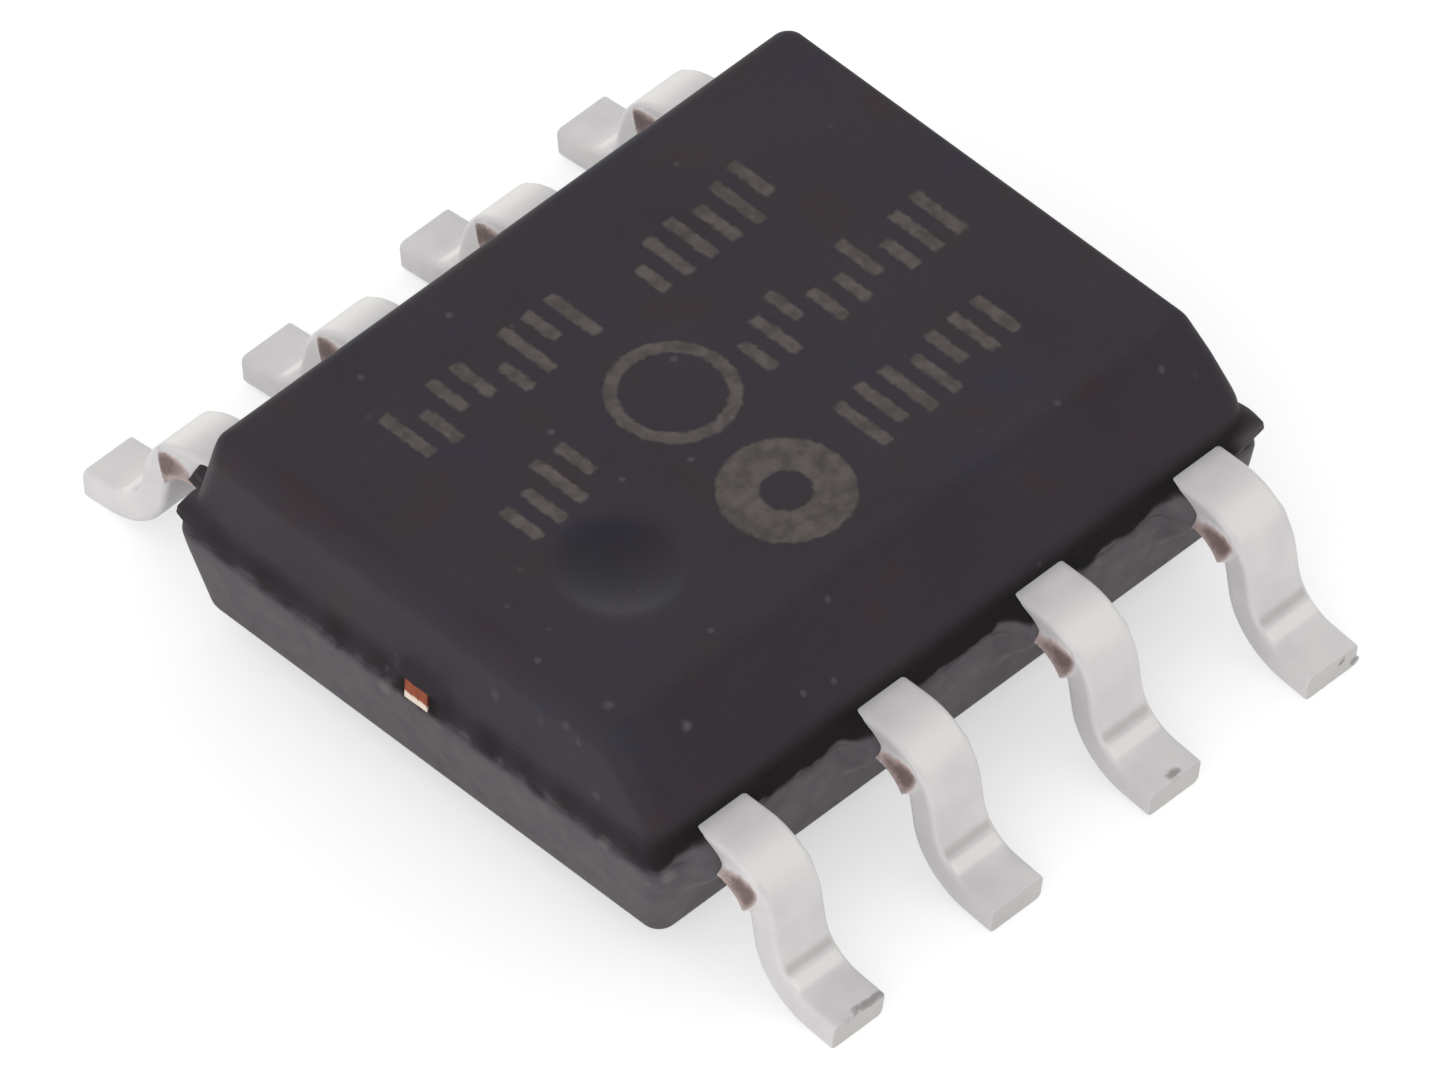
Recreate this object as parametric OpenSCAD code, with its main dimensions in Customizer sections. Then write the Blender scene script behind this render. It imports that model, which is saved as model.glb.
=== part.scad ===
// Eight-lead surface-mount voltage regulator: a chip on a lead frame, moulded in epoxy, with gull-wing leads.
// Millimetres, +Z up. The origin is the middle of the footprint, on the plane that the toes stand on.
// Leads 1 to 4 run along the -Y side towards +X, and leads 5 to 8 back along the +Y side.

/* [Moulded body] */
// Length of the lower half at its rim
body_length = 4.9; // [4.7:0.05:5.1]
// Width of the lower half at its rim
body_width = 3.9; // [3.8:0.05:4.0]
// Clearance under the body
standoff_height = 0.175; // [0.1:0.005:0.25]
// Height of the lower half, from its floor to the lead frame
lower_height = 0.625; // [0.55:0.005:0.75]
// Height of the upper half, from the lead frame to the top face
upper_height = 0.56; // [0.5:0.01:0.75]
// Taper of the lower half's walls, in degrees
lower_draft = 12; // [5:1:15]
// Taper of the upper half's long walls, in degrees
upper_draft = 10; // [5:1:15]
// Taper of the upper half's end walls, in degrees
end_draft = 7; // [5:1:15]
// How far the strip between the halves stands back from the lower rim
strip_inset = 0.03; // [0.01:0.005:0.05]
// How far the upper half stands back from the lower rim
upper_inset = 0.065; // [0.055:0.005:0.1]
// Height of the upright land along the rim of each half
rim_height = 0.03; // [0.01:0.01:0.06]
// Radius of the upright corners
corner_radius = 0.14; // [0.08:0.01:0.2]
// Rounding round the floor of the lower half
floor_radius = 0.1; // [0.04:0.01:0.12]
// Rounding round the top face
top_radius = 0.18; // [0.05:0.01:0.2]
// Radius of the rounded edge at the foot of the bevel
bevel_radius = 0.08; // [0.04:0.01:0.08]
// Size of the 45 degree bevel along leads 1 to 4
bevel_width = 0.43; // [0.25:0.01:0.46]

/* [Lead one dimple] */
// Radius of the dimple's mouth
dimple_radius = 0.4; // [0.2:0.01:0.5]
// Depth of the dimple
dimple_depth = 0.08; // [0.03:0.01:0.1]
// Distance from the end of the body to the dimple's middle
dimple_from_end = 1.09; // [0.9:0.01:1.3]
// Distance from the middle line towards leads 1 to 4
dimple_from_middle = 0.53; // [0.4:0.01:0.7]

/* [Leads] */
// Distance between the middles of neighbouring leads
lead_pitch = 1.27; // [1.2:0.01:1.3]
// Distance between the toes of opposite leads
lead_span = 6.0; // [5.8:0.05:6.2]
// Width of a lead
lead_width = 0.41; // [0.31:0.01:0.51]
// Thickness of the lead frame's strip
lead_thickness = 0.2; // [0.17:0.01:0.25]
// Lean of the leg, in degrees from upright
leg_angle = 10; // [0:1:15]
// Slope of the foot down to its toe, in degrees
foot_angle = 6.5; // [0:0.5:8]
// Straight length of the foot
foot_length = 0.2; // [0.15:0.01:0.4]
// Inside radius of the shoulder bend
shoulder_radius = 0.24; // [0.1:0.01:0.28]
// Inside radius of the heel bend
heel_radius = 0.3; // [0.1:0.01:0.32]
// How far the trimmed stubs stand out on each side of a lead
stub_width = 0.04; // [0.02:0.01:0.1]
// Length of the stubs on the flat of the shoulder
stub_flat_length = 0.08; // [0.04:0.01:0.1]
// How far the stubs follow the shoulder bend, in degrees
stub_wrap = 50; // [30:1:70]

/* [Lead fingers inside the body] */
// Gap between the paddle's outline and the fingers
finger_gap = 0.3; // [0.2:0.01:0.35]
// Width of the straight fingers' tips
finger_width = 0.7; // [0.5:0.01:0.8]
// Length of the straight fingers' wide tips
finger_length = 0.35; // [0.2:0.01:0.45]
// Distance from the middle line to the tips of the corner fingers
corner_finger_start = 0.5; // [0.3:0.01:0.7]
// Length of the corner fingers' wide tips
corner_finger_length = 0.45; // [0.3:0.01:0.6]

/* [Die paddle] */
// Length of the paddle, along the body
paddle_length = 2.4; // [2.0:0.05:2.6]
// Width of the paddle, across the body
paddle_width = 1.9; // [1.6:0.05:2.1]
// How far the paddle is set below the leads
paddle_downset_depth = 0.2; // [0.15:0.01:0.25]
// Width of the tie bars
tie_width = 0.18; // [0.15:0.01:0.3]
// Slope of the tie bars' ramps, in degrees
tie_angle = 40; // [30:1:45]
// Inside radius of the tie bars' bends
tie_radius = 0.05; // [0.03:0.01:0.08]
// Flat length of the tie bars beside the paddle
tie_flat_length = 0.15; // [0.1:0.01:0.2]
// How far the cut ends of the tie bars stand out of the strip between the halves
tie_end_length = 0.02; // [0.005:0.005:0.03]
// Depth of the chipped pockets at the cut ends of the tie bars
tie_pocket_depth = 0.04; // [0.02:0.01:0.08]
// Room beside the cut ends of the tie bars
tie_clearance = 0.03; // [0.01:0.005:0.05]

/* [Die and wires] */
// Length of the die, along the body
die_length = 1.5; // [1.2:0.05:1.8]
// Width of the die, across the body
die_width = 1.2; // [1.0:0.05:1.5]
// Thickness of the die
die_thickness = 0.28; // [0.2:0.01:0.3]
// Thickness of the die attach
attach_thickness = 0.03; // [0.02:0.005:0.05]
// How far the die attach spreads round the die
attach_margin = 0.06; // [0.03:0.01:0.1]
// Distance from the die's edges to the middles of its pads
pad_inset = 0.1; // [0.06:0.01:0.15]
// Diameter of the bond wires
wire_diameter = 0.03; // [0.02:0.005:0.05]
// Diameter of the ball at the die end of a wire
ball_diameter = 0.075; // [0.06:0.005:0.1]
// Height of that ball
ball_height = 0.03; // [0.02:0.005:0.05]
// Rise of a wire's loop above its ball
loop_height = 0.13; // [0.08:0.01:0.16]
// Length of the flattened stitch at the lead end of a wire
stitch_length = 0.05; // [0.03:0.01:0.08]
// Distance from a finger's edges to the stitch
stitch_inset = 0.12; // [0.09:0.01:0.2]

/* [Hidden] */

LEADS_PER_SIDE = 4;
LEAD_COUNT = 2 * LEADS_PER_SIDE;
OUTPUT_LEAD = 1;
GROUND_LEAD = 2;
BYPASS_LEAD = 4;
SHUTDOWN_LEAD = 5;
SUPPLY_LEAD = 8;
WIRED_LEADS = [OUTPUT_LEAD, GROUND_LEAD, BYPASS_LEAD, SHUTDOWN_LEAD, SUPPLY_LEAD];

MOULD_COLOUR = "#3b393e";
TIN_COLOUR = "#cfcdcc";
COPPER_COLOUR = "#b9663f";
ATTACH_COLOUR = "#b5b4b0";
SILICON_COLOUR = "#5f636e";
GOLD_COLOUR = "#d9b23c";

// Facets of a rounded corner, in steps of 18 degrees so that none lies in a tapered wall, steps along a bend and
// along a wire, and sides of a wire
CORNER_FACETS = 20;
BEND_STEPS = 8;
LOOP_STEPS = 12;
WIRE_SIDES = 8;

// Heights of the lead frame and of what stands on it
frame_bottom = standoff_height + lower_height;
frame_middle = frame_bottom + lead_thickness / 2;
frame_top = frame_bottom + lead_thickness;
body_top = frame_top + upper_height;
paddle_top = frame_top - paddle_downset_depth;
die_bottom = paddle_top + attach_thickness;
die_top = die_bottom + die_thickness;

// Outlines of the body, from the lower rim up
strip_length = body_length - 2 * strip_inset;
strip_width = body_width - 2 * strip_inset;
upper_length = body_length - 2 * upper_inset;
upper_width = body_width - 2 * upper_inset;
floor_length = body_length - 2 * lower_height * tan(lower_draft);
floor_width = body_width - 2 * lower_height * tan(lower_draft);
bevel_foot = upper_height - bevel_width;

// Heights of the middles of the upper half's rounding balls above the lead frame: under the top face, and
// at the foot of the bevel, where a ball touches both the wall and the bevel
ball_top = cos(180 / CORNER_FACETS);
top_ball_z = upper_height - top_radius * ball_top;
foot_ball_z = bevel_foot + bevel_radius * (1 / cos(upper_draft) - sqrt(2)) / (1 - tan(upper_draft));

// The formed lead: the leg reaches from the frame's height to the seating plane
shoulder_bend = 90 - leg_angle;
heel_bend = shoulder_bend - foot_angle;
shoulder_arc = shoulder_radius + lead_thickness / 2;
heel_arc = heel_radius + lead_thickness / 2;
leg_drop = frame_middle - lead_thickness / 2 * cos(foot_angle)
    - shoulder_arc * (1 - cos(shoulder_bend))
    - heel_arc * (cos(foot_angle) - cos(shoulder_bend))
    - foot_length * sin(foot_angle);
leg_length = leg_drop / sin(shoulder_bend);
shoulder_end = lead_span / 2 - lead_thickness / 2 * sin(foot_angle)
    - shoulder_arc * sin(shoulder_bend)
    - leg_length * cos(shoulder_bend)
    - heel_arc * (sin(shoulder_bend) - sin(foot_angle))
    - foot_length * cos(foot_angle);
finger_start = paddle_width / 2 + finger_gap;
corner_finger_edge = paddle_length / 2 + finger_gap;

// The tie bar's ramp climbs from the paddle to the height of the leads
tie_arc = tie_radius + lead_thickness / 2;
ramp_length = (paddle_downset_depth - 2 * tie_arc * (1 - cos(tie_angle))) / sin(tie_angle);
tie_end = strip_length / 2 + tie_end_length;

// Unit vector at an angle in a plane
function heading(angle) = [cos(angle), sin(angle)];

// Stations [point, angle] round one bend that turns by turn at radius r, starting at point p and angle a
function bend_stations(p, a, turn, r) =
    let (side = sign(turn), middle = p + side * r * heading(a + 90))
    [for (i = [0:BEND_STEPS]) let (b = a + turn * i / BEND_STEPS) [middle - side * r * heading(b + 90), b]];

// Stations along a strip with one bend: a first run and the bend
function hook_stations(start, first, bend, r) =
    concat([[start, 0]], bend_stations(start + [first, 0], 0, bend, r));

// Stations along a strip of two bends: a first run, a bend, a middle run, a second bend and a last run
function strip_stations(start, first, bend_1, r_1, middle, bend_2, r_2, last) =
    let (
        arc_1 = bend_stations(start + [first, 0], 0, bend_1, r_1),
        end_1 = arc_1[BEND_STEPS],
        arc_2 = bend_stations(end_1[0] + middle * heading(end_1[1]), end_1[1], bend_2, r_2),
        end_2 = arc_2[BEND_STEPS]
    )
    concat([[start, 0]], arc_1, arc_2, [[end_2[0] + last * heading(end_2[1]), end_2[1]]]);

// Outline of a strip of the lead frame's thickness about its stations
function strip_outline(stations) =
    let (half = lead_thickness / 2, last = len(stations) - 1)
    concat(
        [for (s = stations) s[0] + half * heading(s[1] + 90)],
        [for (i = [last:-1:0]) stations[i][0] - half * heading(stations[i][1] + 90)]
    );

// Where a lead stands: its place along its side, its side of the body and whether it is at a corner
function lead_place(n) = n <= LEADS_PER_SIDE ? n - 1 : LEAD_COUNT - n;
function lead_x(n) = (lead_place(n) - (LEADS_PER_SIDE - 1) / 2) * lead_pitch;
function lead_side(n) = n <= LEADS_PER_SIDE ? -1 : 1;
function at_corner(n) = lead_place(n) == 0 || lead_place(n) == LEADS_PER_SIDE - 1;

// Four upright corners of a rounded rectangle, with the same child at each
module corners(length, width, r) {
    for (sx = [-1, 1], sy = [-1, 1])
        translate([sx * (length / 2 - r), sy * (width / 2 - r), 0])
            children();
}

// Lower half: tapers from its rim to a floor with rounded edges
module lower_half() {
    hull() {
        translate([0, 0, frame_bottom - rim_height])
            corners(body_length, body_width, corner_radius)
                cylinder(h = rim_height, r = corner_radius, $fn = CORNER_FACETS);
        translate([0, 0, standoff_height + floor_radius * ball_top])
            corners(floor_length, floor_width, floor_radius)
                sphere(r = floor_radius, $fn = CORNER_FACETS);
    }
}

// Strip between the halves, as thick as the lead frame
module parting_strip() {
    hull()
        translate([0, 0, frame_bottom])
            corners(strip_length, strip_width, corner_radius)
                cylinder(h = lead_thickness, r = corner_radius, $fn = CORNER_FACETS);
}

// Distance from the middle line of a rounding ball of radius r that touches a tapered wall or the bevel from
// inside, at height z above the lead frame
function inside_wall(half, draft, z, r) = half - z * tan(draft) - r / cos(draft);
function inside_bevel(z, r) =
    upper_width / 2 - bevel_foot * tan(upper_draft) + bevel_foot - z - r * sqrt(2);

// One pair of rounding balls at the two ends of an edge of the upper half, at height z above the lead frame
// and at distance y from the middle line, where the corners turn with radius turn_r
module upper_edge(y, z, r, turn_r) {
    x = inside_wall(upper_length / 2, end_draft, z, turn_r);
    for (sx = [-1, 1])
        translate([sx * x, y, frame_top + z])
            sphere(r = r, $fn = CORNER_FACETS);
}

// Upper half: tapers to the top face, with the bevel along leads 1 to 4
module upper_half() {
    far_y = inside_wall(upper_width / 2, upper_draft, top_ball_z, top_radius);
    hull() {
        translate([0, 0, frame_top])
            corners(upper_length, upper_width, corner_radius)
                cylinder(h = rim_height, r = corner_radius, $fn = CORNER_FACETS);
        upper_edge(far_y, top_ball_z, top_radius, top_radius);
        upper_edge(-inside_bevel(top_ball_z, top_radius), top_ball_z, top_radius, top_radius);
        upper_edge(-inside_bevel(foot_ball_z, bevel_radius), foot_ball_z, bevel_radius, corner_radius);
    }
}

// Shallow round dish that marks lead 1
module dimple() {
    ball = (dimple_radius * dimple_radius + dimple_depth * dimple_depth) / (2 * dimple_depth);
    translate([dimple_from_end - body_length / 2, -dimple_from_middle, body_top - dimple_depth + ball])
        sphere(r = ball, $fn = 96);
}

// Upright plate with the given outline in the plane of one lead, middled on x
module upright_plate(outline, width) {
    rotate([90, 0, 90])
        linear_extrude(height = width, center = true)
            polygon(outline);
}

// Flat blank of a lead seen from above, with its finger inside the body.
// The blank points along +Y, and towards is the side on which a corner finger widens.
module lead_blank(corner, towards) {
    start = corner ? corner_finger_start : finger_start;
    translate([-lead_width / 2, start])
        square([lead_width, lead_span / 2 - start]);
    if (corner) {
        lead_from_middle = (LEADS_PER_SIDE - 1) / 2 * lead_pitch;
        edge = towards * (lead_from_middle - corner_finger_edge);
        far_edge = -towards * lead_width / 2;
        translate([min(edge, far_edge), start])
            square([abs(edge - far_edge), corner_finger_length]);
    } else {
        translate([-finger_width / 2, start])
            square([finger_width, finger_length]);
    }
}

// One lead in its place: the blank, bent to the gull wing, with the trimmed stubs at its shoulder
module formed_lead(n) {
    start = at_corner(n) ? corner_finger_start : finger_start;
    wing = strip_outline(strip_stations(
        [start, frame_middle], shoulder_end - start, -shoulder_bend, shoulder_arc,
        leg_length, heel_bend, heel_arc, foot_length
    ));
    stub = strip_outline(hook_stations(
        [shoulder_end - stub_flat_length, frame_middle], stub_flat_length, -stub_wrap, shoulder_arc
    ));
    towards = -sign(lead_x(n)) * lead_side(n);
    translate([lead_x(n), 0, 0])
        rotate([0, 0, lead_side(n) > 0 ? 0 : 180]) {
            intersection() {
                upright_plate(wing, 2 * lead_pitch);
                linear_extrude(height = frame_top)
                    lead_blank(at_corner(n), towards);
            }
            upright_plate(stub, lead_width + 2 * stub_width);
        }
}

// Paddle with a tie bar up to each end wall
module formed_paddle() {
    ramp = strip_outline(strip_stations(
        [0, paddle_top - lead_thickness / 2], paddle_length / 2 + tie_flat_length, tie_angle, tie_arc,
        ramp_length, -tie_angle, tie_arc, body_length
    ));
    translate([-paddle_length / 2, -paddle_width / 2, paddle_top - lead_thickness])
        cube([paddle_length, paddle_width, lead_thickness]);
    intersection() {
        for (turn = [-90, 90])
            rotate([0, 0, turn])
                upright_plate(ramp, tie_width);
        translate([-tie_end, -body_width / 2, 0])
            cube([2 * tie_end, body_width, body_top]);
    }
}

// Chipped pockets in the strip round the cut ends of the tie bars
module tie_pockets() {
    pocket_width = tie_width + 2 * tie_clearance;
    pocket_middle = (strip_length + body_length) / 2 - tie_pocket_depth;
    for (sx = [-1, 1])
        translate([sx * pocket_middle - body_length / 2, -pocket_width / 2, frame_bottom])
            cube([body_length, pocket_width, lead_thickness]);
}

// Adhesive layer, a little wider than the die
module attach_layer() {
    length = die_length + 2 * attach_margin;
    width = die_width + 2 * attach_margin;
    translate([-length / 2, -width / 2, paddle_top])
        cube([length, width, attach_thickness]);
}

// Silicon chip
module chip() {
    translate([-die_length / 2, -die_width / 2, die_bottom])
        cube([die_length, die_width, die_thickness]);
}

// Places of a wire's two ends: its pad on the die and its stitch on the finger
function pad_place(n) = [
    sign(lead_x(n)) * (at_corner(n) ? die_length / 2 - pad_inset : lead_pitch / 4),
    lead_side(n) * (die_width / 2 - pad_inset)
];
function stitch_place(n) = [
    at_corner(n) ? sign(lead_x(n)) * (corner_finger_edge + stitch_inset) : lead_x(n),
    lead_side(n) * ((at_corner(n) ? corner_finger_start : finger_start) + stitch_inset)
];

// Point and direction on a cubic curve with four control points
function curve_point(c, t) =
    pow(1 - t, 3) * c[0] + 3 * t * pow(1 - t, 2) * c[1] + 3 * t * t * (1 - t) * c[2] + pow(t, 3) * c[3];
function curve_way(c, t) =
    pow(1 - t, 2) * (c[1] - c[0]) + 2 * t * (1 - t) * (c[2] - c[1]) + t * t * (c[3] - c[2]);

// Rings of a wire in its upright plane, each [distance, height, angle, half width, half thickness]:
// the ball on its pad, the loop and the flattened stitch
function wire_rings(reach) =
    let (
        r = wire_diameter / 2,
        flat = r / 2,
        ball = ball_diameter / 2,
        neck = die_top + ball_height,
        crown = neck + loop_height * 4 / 3,
        landing = [reach - stitch_length, frame_top + wire_diameter],
        loop = [[0, neck], [0, crown], [reach / 2, crown], landing],
        seat = frame_top + flat * cos(180 / WIRE_SIDES)
    )
    concat(
        [[0, die_top, 90, ball * 0.8, ball * 0.8], [0, die_top + ball_height / 2, 90, ball, ball]],
        [for (i = [0:LOOP_STEPS])
            let (t = i / LOOP_STEPS, p = curve_point(loop, t), w = curve_way(loop, t))
            [p[0], p[1], atan2(w[1], w[0]), r, r]],
        [[reach, seat, 0, r * 1.5, flat], [reach + stitch_length, seat, 0, r * 1.5, flat]]
    );

// One bond wire, swept through its rings from the die to its lead
module swept_wire(n) {
    from = pad_place(n);
    way = stitch_place(n) - from;
    rings = wire_rings(norm(way));
    along = way / norm(way);
    across = [-along[1], along[0]];
    last = len(rings) - 1;
    points = [for (g = rings, k = [0:WIRE_SIDES - 1])
        let (
            a = (k + 0.5) * 360 / WIRE_SIDES,
            side = g[3] * cos(a),
            lift = g[4] * sin(a),
            d = g[0] - lift * sin(g[2]),
            plan = from + d * along + side * across
        )
        [plan[0], plan[1], g[1] + lift * cos(g[2])]];
    walls = [for (i = [0:last - 1], k = [0:WIRE_SIDES - 1])
        let (j = (k + 1) % WIRE_SIDES, low = i * WIRE_SIDES, high = low + WIRE_SIDES)
        [low + k, high + k, high + j, low + j]];
    start_cap = [[for (k = [0:WIRE_SIDES - 1]) k]];
    end_cap = [[for (k = [WIRE_SIDES - 1:-1:0]) last * WIRE_SIDES + k]];
    polyhedron(points, concat(walls, start_cap, end_cap));
}

// Epoxy moulding, with the room that the lead frame, the die and the wires take up inside it
module mould_body() {
    color(MOULD_COLOUR)
        difference() {
            union() {
                lower_half();
                parting_strip();
                upper_half();
            }
            dimple();
            tie_pockets();
            for (n = [1:LEAD_COUNT])
                formed_lead(n);
            formed_paddle();
            attach_layer();
            chip();
            for (n = WIRED_LEADS)
                swept_wire(n);
        }
}

// Tin-plated lead
module lead(n) {
    color(TIN_COLOUR)
        formed_lead(n);
}

// Copper paddle of the lead frame
module die_paddle() {
    color(COPPER_COLOUR)
        formed_paddle();
}

// Silver-filled adhesive
module die_attach() {
    color(ATTACH_COLOUR)
        attach_layer();
}

// Chip that holds the regulator's circuit
module regulator_die() {
    color(SILICON_COLOUR)
        chip();
}

// Gold wire from the die to lead n
module bond_wire(n) {
    color(GOLD_COLOUR)
        swept_wire(n);
}

mould_body();
for (n = [1:LEAD_COUNT])
    lead(n);
die_paddle();
die_attach();
regulator_die();
bond_wire(OUTPUT_LEAD);  // bond_wire_output
bond_wire(GROUND_LEAD);  // bond_wire_ground
bond_wire(BYPASS_LEAD);  // bond_wire_bypass
bond_wire(SHUTDOWN_LEAD);  // bond_wire_shutdown
bond_wire(SUPPLY_LEAD);  // bond_wire_supply
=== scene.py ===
import bpy
import numpy as np
from mathutils import Matrix, Vector


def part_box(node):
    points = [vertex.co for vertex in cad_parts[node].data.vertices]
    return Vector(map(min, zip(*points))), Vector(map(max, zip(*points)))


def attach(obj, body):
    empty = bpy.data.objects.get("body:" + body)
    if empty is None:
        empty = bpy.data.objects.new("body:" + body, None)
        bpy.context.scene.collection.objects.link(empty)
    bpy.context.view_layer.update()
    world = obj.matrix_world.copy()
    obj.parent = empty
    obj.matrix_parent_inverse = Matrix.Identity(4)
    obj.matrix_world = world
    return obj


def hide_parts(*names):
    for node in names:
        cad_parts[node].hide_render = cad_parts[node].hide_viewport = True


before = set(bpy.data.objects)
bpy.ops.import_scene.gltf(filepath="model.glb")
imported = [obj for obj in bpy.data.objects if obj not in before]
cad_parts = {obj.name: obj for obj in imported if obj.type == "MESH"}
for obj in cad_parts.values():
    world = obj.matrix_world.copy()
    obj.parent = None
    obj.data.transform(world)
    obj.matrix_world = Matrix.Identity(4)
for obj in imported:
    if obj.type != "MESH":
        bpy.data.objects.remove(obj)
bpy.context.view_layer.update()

# Moulded body. One pressing of black epoxy, made in two mould halves that close on the lead frame. The
# flash that squeezed out between them is broken off, which leaves the rough dark strip round the middle.
# On the near wall that strip is painted darker and reaches higher up, as painted shade.
MM = 0.001
body_low, body_high = (np.array(corner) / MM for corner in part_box("mould_body"))
half_length = body_high[0]
half_width = body_high[1]
floor_z = body_low[2]
top_z = body_high[2]
lead_thickness = 0.2
frame_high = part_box("lead_1")[1].z / MM
frame_low = frame_high - lead_thickness


def waves(t, period, seed, finest, height, count=24):
    """A sum of sines that repeats after the period: whole numbers of waves, from the finest length to six
    times that, with random phases and about this height."""
    draw = np.random.default_rng(seed)
    numbers = np.round(period / finest * 6.0 ** -draw.random(count))
    phases = 2 * np.pi * draw.random(count)
    angles = 2 * np.pi * np.asarray(t)[..., None] / period * numbers + phases
    return height * np.sqrt(2 / count) * np.sin(angles).sum(-1)


def step_up(t, start, end):
    """Smooth step: 0 before start, 1 after end and a cubic between."""
    k = np.clip((t - start) / (end - start), 0, 1)
    return k * k * (3 - 2 * k)


def skin(name, grid):
    """A closed mesh over a grid of rows, each a ring of points: quads between rows and one face on each end
    row."""
    rows, columns = grid.shape[:2]
    index = np.arange(rows * columns).reshape(rows, columns)
    after = np.roll(index, -1, axis=1)
    quads = np.stack([index[:-1], after[:-1], after[1:], index[1:]], -1).reshape(-1, 4)
    faces = quads.tolist() + [index[0, ::-1].tolist(), index[-1].tolist()]
    mesh = bpy.data.meshes.new(name)
    mesh.from_pydata((grid.reshape(-1, 3) * MM).tolist(), [], faces)
    mesh.polygons.foreach_set("use_smooth", np.ones(len(faces), bool))
    piece = bpy.data.objects.new(name, mesh)
    bpy.context.scene.collection.objects.link(piece)
    return piece


def mark(piece, name, values):
    """Keeps one number for each point of a piece, for its finish to read."""
    attribute = piece.data.attributes.new(name, "FLOAT", "POINT")
    attribute.data.foreach_set("value", np.asarray(values, np.float32).ravel())


def ring_samples():
    """Places round a rounded rectangle: the corner each point starts from, the share of the way to the next
    corner, and the outward direction. Points lie closer at the tie bars, in the middle of the two ends."""
    long_way = np.linspace(0, 1, 172)[1:-1]
    end_step = np.linspace(-1, 1, 109)[1:-1]
    end_way = 0.5 + 0.5 * (0.25 * end_step + 0.75 * end_step ** 3)
    turn = np.radians(np.linspace(0, 90, 13))
    start, share, angle = [], [], []
    for corner, way in enumerate((long_way, end_way, long_way, end_way)):
        first = np.radians(90 * corner)
        start += [np.full(turn.size + way.size, corner)]
        share += [np.zeros(turn.size), way]
        angle += [first + turn, np.full(way.size, first + turn[-1])]
    start, share, angle = (np.concatenate(v) for v in (start, share, angle))
    return start, share, np.stack([np.cos(angle), np.sin(angle)], -1)


# Lists of walls run right, far, left, near.
lower_draft_degrees = 12
lower_draft = np.radians(lower_draft_degrees)
upper_draft = np.radians(10)
end_draft = np.radians(7)
wall_drafts = [end_draft, upper_draft, end_draft - np.radians(2), upper_draft]
wall_top_radii = [0.05, 0.1, 0.2, 0.18]
floor_radius = 0.1
rim_radius = 0.025
strip_inset = 0.03
upper_inset = 0.065
bevel_width = 0.43
bevel_foot_z = top_z - bevel_width


def wall_heights():
    """Heights of the rows up the walls: round the floor's edge, up the lower wall, round its rim, across
    the strip, up the upper wall, closer together at the bevel's foot, and round the top's edge."""
    top_radius = max(wall_top_radii)
    floor_turn = np.radians(np.linspace(-90, -lower_draft_degrees, 9))
    rim_turn = np.radians(np.linspace(-lower_draft_degrees, 90, 8))
    top_turn = np.radians(np.linspace(0, 90, 17)[1:])
    floor_round = floor_z + floor_radius * (1 + np.sin(floor_turn))
    rim_round = frame_low - rim_radius * (1 - np.sin(rim_turn))
    return np.concatenate([
        floor_round,
        np.linspace(floor_round[-1], rim_round[0], 12)[1:-1],
        rim_round,
        np.linspace(frame_low + 0.006, frame_high - 0.004, 18),
        np.linspace(frame_high, bevel_foot_z - 0.06, 6),
        np.linspace(bevel_foot_z - 0.05, bevel_foot_z + 0.08, 12),
        np.linspace(bevel_foot_z + 0.1, top_z - top_radius, 6),
        top_z - top_radius * (1 - np.sin(top_turn)),
    ])


def rounded_to(z, wall, middle_z, radius, slope, way):
    """Inset of a straight wall whose end turns on a circle: the circle touches the wall, has its middle at
    middle_z, and takes over past the point where it touches."""
    middle = np.interp(middle_z, z, wall) + radius * np.sqrt(1 + slope ** 2)
    arc = middle - np.sqrt(np.clip(radius ** 2 - (z - middle_z) ** 2, 0, None))
    touch = way * radius * slope / np.sqrt(1 + slope ** 2)
    return np.where(way * (z - middle_z) > way * touch, arc, wall)


def wall_insets(z):
    """How far each wall lies inside the body's box at each height, and how much of that is rounding. The
    halves taper away from the strip. The near wall turns into the 45 degree bevel as the larger of two
    lines, with the corner between them softened by a square root."""
    slack = 0.001
    low = z < frame_low + slack
    high = z > frame_high - slack
    slope = np.tan(lower_draft)
    straight_low = (frame_low - z) * slope
    lower = rounded_to(z, straight_low, floor_z + floor_radius, floor_radius, slope, -1)
    lower = rounded_to(z, lower, frame_low - rim_radius, rim_radius, -slope, 1)
    upright_height = 0.05
    strip = strip_inset + (upper_inset - strip_inset) * step_up(z, frame_low + upright_height, frame_high)
    near_wall = 3
    bevel_softness = 0.03
    insets, rounding = [], []
    for wall, (draft, radius) in enumerate(zip(wall_drafts, wall_top_radii)):
        slope = np.tan(draft)
        upper = upper_inset + (z - frame_high) * slope
        if wall == near_wall:
            ramp = upper_inset + (bevel_foot_z - frame_high) * slope + z - bevel_foot_z
            upper = (upper + ramp + np.sqrt((upper - ramp) ** 2 + bevel_softness ** 2)) / 2
            slope = 1.0
        turned = rounded_to(z, upper, top_z - radius, radius, slope, 1)
        insets.append(np.where(low, lower, np.where(high, turned, strip)))
        upper_rounding = np.where(high, turned - upper, 0)
        rounding.append(np.where(low, np.maximum(lower - straight_low, 0), upper_rounding))
    return np.array(insets), np.array(rounding)


# Lists of corners run far right, far left, near left, near right.
corner_radii = [0.14, 0.14, 0.14, 0.2]
corner_top_radii = [0.1, 0.15, 0.2, 0.1]
corner_floor_radii = [0.1, 0.15, 0.12, 0.1]
corner_end_walls = [0, 2, 2, 0]


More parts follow.
